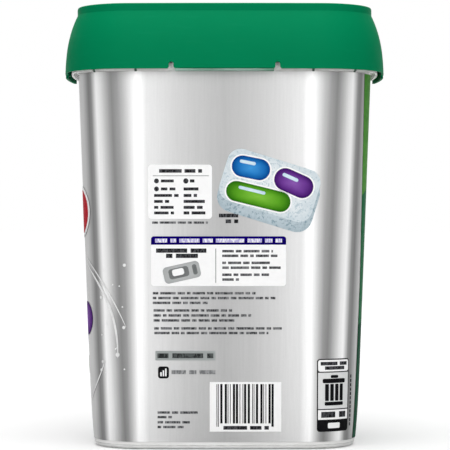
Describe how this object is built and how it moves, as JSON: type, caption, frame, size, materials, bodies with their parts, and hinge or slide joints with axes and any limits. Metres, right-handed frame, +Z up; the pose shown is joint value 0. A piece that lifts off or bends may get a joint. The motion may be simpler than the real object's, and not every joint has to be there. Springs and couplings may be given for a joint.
{
  "type": "dishwasher tablet tub",
  "caption": "Tapered rounded-rectangular plastic tub with a metallised wrap label and a bell-shaped lid that turns on a hinge along the back.",
  "frame": {"origin": "centre of the foot, on the surface that the tub stands on", "axes": "+Z up, +X along the long side, +Y towards the front that the lid opens from; the hinge is on the -Y side"},
  "size_m": [0.1782, 0.1299, 0.2409],
  "materials": {
    "tub": "satin white polypropylene",
    "label": "metallised printed film",
    "lid": "soft gloss green polypropylene",
    "hinge_clip": "soft gloss green polypropylene"
  },
  "bodies": {
    "tub": {"tub": "tub", "label": "label", "hinge_clip": "hinge_clip"},
    "lid": {"lid": "lid"}
  },
  "joints": [
    {"name": "lid_hinge", "type": "hinge", "parent": "tub", "child": "lid", "pos_m": [0, -0.0643, 0.20485], "axis": [1, 0, 0], "range_deg": [0, 180]}
  ]
}
